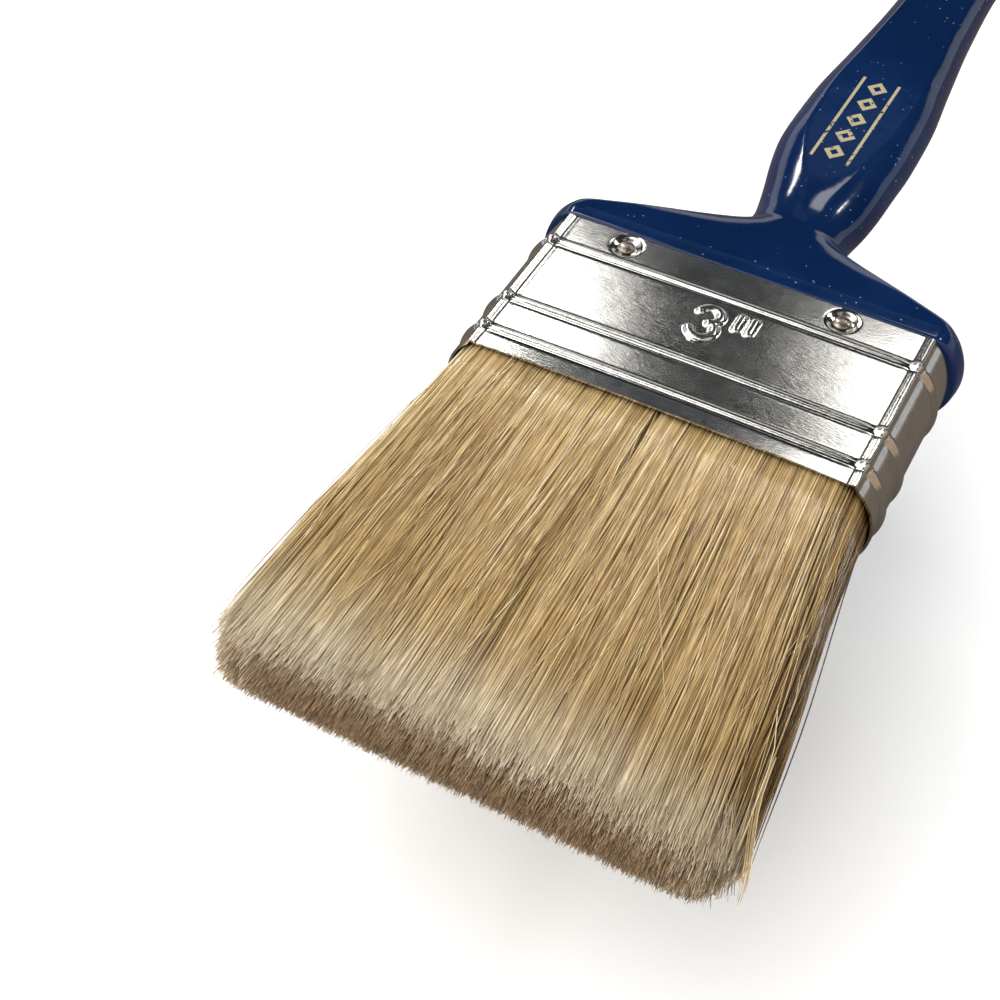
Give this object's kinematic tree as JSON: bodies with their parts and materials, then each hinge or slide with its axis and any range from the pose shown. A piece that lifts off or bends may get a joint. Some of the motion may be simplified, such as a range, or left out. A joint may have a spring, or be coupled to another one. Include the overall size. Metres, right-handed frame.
{
  "type": "paint brush",
  "caption": "Flat paint brush with a lacquered wooden beavertail handle, a beaded plated ferrule and a flexing pack of natural bristle.",
  "frame": {"origin": "on the table, under the middle of the brush's length and width, as it lies on its back face", "axes": "+X across the width, +Y from the bristle tips towards the handle's end, +Z out of the front broad face"},
  "size_m": [0.0852, 0.272, 0.0208],
  "materials": {
    "handle_lacquer": "high-gloss navy lacquer over hardwood",
    "ferrule_plate": "bright tin-plated sheet steel with a fine grain",
    "nail_steel": "bright, slightly worn",
    "epoxy": "cast amber resin",
    "plug_wood": "bare sawn softwood",
    "bristle": "natural hog bristle, satin, flagged tips"
  },
  "bodies": {
    "brush_body": {"handle": "handle_lacquer", "ferrule": "ferrule_plate", "nail_front_left": "nail_steel", "nail_front_right": "nail_steel", "nail_back_left": "nail_steel", "nail_back_right": "nail_steel", "epoxy_setting": "epoxy", "plug_left": "plug_wood", "plug_right": "plug_wood", "bristle_roots_front": "bristle", "bristle_roots_back": "bristle"},
    "bristles": {"bristles_front": "bristle", "bristles_back": "bristle"}
  },
  "joints": [
    {"name": "bristle_flex", "type": "hinge", "parent": "brush_body", "child": "bristles", "pos_m": [0, -0.0686, 0.0104], "axis": [1, 0, 0], "range_deg": [-30, 30], "stiffness_Nm_per_rad": 0.8}
  ]
}
